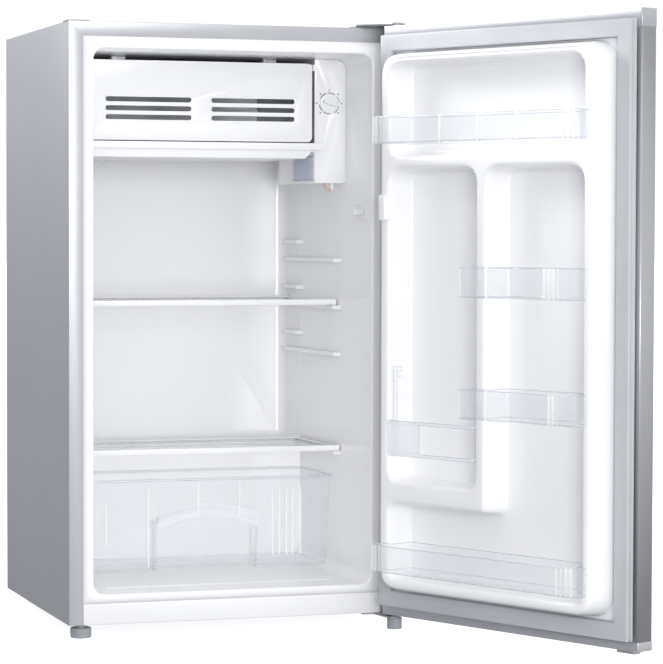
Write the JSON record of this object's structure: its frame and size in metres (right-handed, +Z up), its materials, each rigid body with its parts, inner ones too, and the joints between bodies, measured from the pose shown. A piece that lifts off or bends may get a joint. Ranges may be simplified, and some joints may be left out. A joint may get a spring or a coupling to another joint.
{
  "type": "mini fridge",
  "caption": "Compact free-standing refrigerator with an inner ice box, standing with its right-hinged door open on clear door bins.",
  "frame": {"origin": "on the floor, under the centre of the front left foot, at the middle of that foot's flat sole", "axes": "+X to the right seen from the front, +Y to the back, +Z up; the door stands open towards -Y"},
  "size_m": [0.6663, 0.8715, 0.8515],
  "materials": {
    "silver_sheet": "satin",
    "silver_plastic": "satin",
    "white_moulding": "satin",
    "white_plinth": "satin",
    "insulation": "matte",
    "galvanised_sheet": "matte",
    "copper_tube": "satin",
    "black_enamel": "gloss",
    "black_rubber": "matte",
    "black_plastic": "matte",
    "zinc_fastener": "satin",
    "hinge_steel": "satin",
    "pin_steel": "polished",
    "grey_foot": "satin",
    "aluminium_sheet": "satin",
    "dial_plastic": "satin",
    "switch_body": "matte",
    "lamp_glass": "gloss",
    "lens_plastic": "gloss",
    "tempered_glass": "gloss",
    "white_trim": "satin",
    "clear_plastic": "gloss",
    "hinge_bush": "satin",
    "gasket_grey": "matte"
  },
  "bodies": {
    "cabinet": {"outer_shell": "silver_sheet", "inner_liner": "white_moulding", "insulation_foam": "insulation", "front_plinth": "white_plinth", "base_plate": "galvanised_sheet", "condenser_coil": "copper_tube", "bay_panel": "galvanised_sheet", "bay_floor": "galvanised_sheet", "cord_inlet": "black_rubber", "compressor": "black_enamel", "compressor_grommets": "black_rubber", "relay_box": "black_plastic", "drain_pan": "black_plastic", "refrigerant_pipes": "copper_tube", "filter_drier": "copper_tube", "back_panel": "galvanised_sheet", "back_screws": "zinc_fastener", "rear_feet": "black_rubber", "lower_hinge_bracket": "hinge_steel", "lower_hinge_pin": "pin_steel", "upper_hinge_bracket": "hinge_steel", "upper_hinge_pin": "pin_steel", "hinge_screws": "zinc_fastener", "hinge_hole_cover": "silver_plastic", "evaporator_box": "aluminium_sheet", "evaporator_hangers": "white_moulding", "flap_brackets": "white_moulding", "control_box": "white_moulding", "thermostat_switch": "switch_body", "capillary_tube": "copper_tube", "lamp_lens": "lens_plastic", "lamp_socket": "switch_body", "lamp_bulb": "lamp_glass", "door_switch_frame": "white_moulding"},
    "left_foot": {"front_left_foot": "grey_foot"},
    "right_foot": {"front_right_foot": "grey_foot"},
    "flap": {"freezer_flap": "white_moulding"},
    "tray": {"drip_tray": "white_moulding"},
    "dial": {"thermostat_dial": "dial_plastic"},
    "paddle": {"door_switch_paddle": "white_moulding"},
    "shelf": {"shelf_glass": "tempered_glass", "shelf_trims": "white_trim"},
    "crisper_cover": {"crisper_cover_glass": "tempered_glass", "crisper_cover_frame": "white_trim"},
    "crisper": {"crisper_drawer": "clear_plastic"},
    "door": {"door_panel": "silver_sheet", "door_top_cap": "silver_plastic", "door_bottom_cap": "silver_plastic", "door_bush_upper": "hinge_bush", "door_bush_lower": "hinge_bush", "door_liner": "white_moulding", "door_foam": "insulation", "door_gasket": "gasket_grey", "hinge_hole_plug": "silver_plastic", "bottle_holder_pegs": "white_moulding"},
    "top_bin_body": {"top_bin": "clear_plastic"},
    "upper_small_bin_body": {"upper_small_bin": "clear_plastic"},
    "lower_small_bin_body": {"lower_small_bin": "clear_plastic"},
    "bottom_bin_body": {"bottom_bin": "clear_plastic"},
    "holder": {"bottle_holder": "clear_plastic"}
  },
  "joints": [
    {"name": "door_hinge", "type": "hinge", "parent": "cabinet", "child": "door", "pos_m": [0.4413, -0.05, 0.4], "axis": [0, 0, 1], "range_deg": [-114.4, 15.6]},
    {"name": "flap_hinge", "type": "hinge", "parent": "cabinet", "child": "flap", "pos_m": [0.215, 0.079, 0.794], "axis": [-1, 0, 0], "range_deg": [0, 85]},
    {"name": "tray_slide", "type": "slide", "parent": "cabinet", "child": "tray", "axis": [0, -1, 0], "range_m": [0, 0.18]},
    {"name": "dial_turn", "type": "hinge", "parent": "cabinet", "child": "dial", "pos_m": [0.387, 0.084, 0.7434], "axis": [0, 1, 0], "range_deg": [0, 270]},
    {"name": "paddle_press", "type": "hinge", "parent": "cabinet", "child": "paddle", "pos_m": [0.41238, 0.008, 0.587], "axis": [0, 0, -1], "range_deg": [0, 8], "stiffness_Nm_per_rad": 0.02},
    {"name": "shelf_slide", "type": "slide", "parent": "cabinet", "child": "shelf", "axis": [0, -1, 0], "range_m": [0, 0.2]},
    {"name": "crisper_cover_slide", "type": "slide", "parent": "cabinet", "child": "crisper_cover", "axis": [0, -1, 0], "range_m": [0, 0.15]},
    {"name": "crisper_slide", "type": "slide", "parent": "cabinet", "child": "crisper", "axis": [0, -1, 0], "range_m": [0, 0.15]},
    {"name": "left_foot_screw", "type": "hinge", "parent": "cabinet", "child": "left_foot", "pos_m": [0, 0, 0], "axis": [0, 0, 1], "continuous": true},
    {"name": "right_foot_screw", "type": "hinge", "parent": "cabinet", "child": "right_foot", "pos_m": [0.4413, -0.05, 0], "axis": [0, 0, 1], "continuous": true},
    {"name": "top_bin_lift", "type": "slide", "parent": "door", "child": "top_bin_body", "axis": [0, 0, 1], "range_m": [0, 0.03]},
    {"name": "upper_small_bin_lift", "type": "slide", "parent": "door", "child": "upper_small_bin_body", "axis": [0, 0, 1], "range_m": [0, 0.03]},
    {"name": "lower_small_bin_lift", "type": "slide", "parent": "door", "child": "lower_small_bin_body", "axis": [0, 0, 1], "range_m": [0, 0.03]},
    {"name": "bottom_bin_lift", "type": "slide", "parent": "door", "child": "bottom_bin_body", "axis": [0, 0, 1], "range_m": [0, 0.03]},
    {"name": "bottle_holder_lift", "type": "slide", "parent": "door", "child": "holder", "axis": [0, 0, 1], "range_m": [0, 0.009]}
  ]
}
